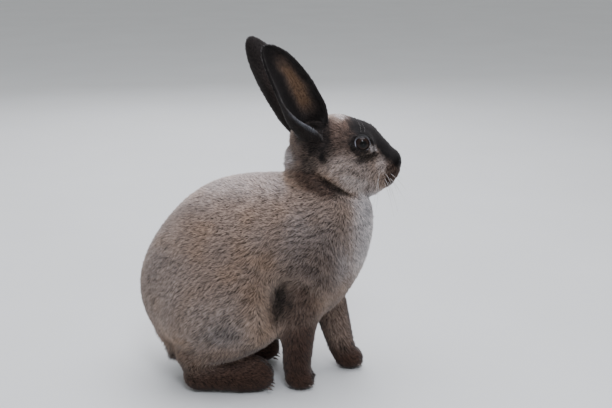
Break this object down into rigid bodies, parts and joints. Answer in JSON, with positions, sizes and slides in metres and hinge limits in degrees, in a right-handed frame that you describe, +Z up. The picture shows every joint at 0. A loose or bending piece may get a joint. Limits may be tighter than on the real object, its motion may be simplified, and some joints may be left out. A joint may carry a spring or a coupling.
{
  "type": "rabbit",
  "caption": "Life-size still model of a short-coated rabbit sitting on its haunches, head in profile and both ears upright.",
  "frame": {"origin": "middle of the underside of the animal's box, on the floor the feet rest on", "axes": "+X towards the nose, +Y to the animal's left, +Z up"},
  "size_m": [0.298, 0.1644, 0.3956],
  "materials": {
    "coat": "short dense plush fur, grey-brown, matt with a soft pale rim",
    "dark_coat": "very short fur, blackish brown, on the ears and feet",
    "eye": "wet, near black",
    "eyelid": "thin pale grey skin of the eyelids",
    "nose": "damp dark skin of the nostrils and lips",
    "claw": "dark horn",
    "whisker": "thin pale stiff hair"
  },
  "bodies": {
    "root": {"trunk": "coat", "neck": "coat", "head": "coat", "ear_left": "dark_coat", "ear_right": "dark_coat", "eye_left": "eye", "eye_right": "eye", "thigh_left": "coat", "thigh_right": "coat", "hind_foot_left": "dark_coat", "hind_foot_right": "dark_coat", "foreleg_left": "dark_coat", "foreleg_right": "dark_coat", "tail": "coat"}
  },
  "joints": []
}
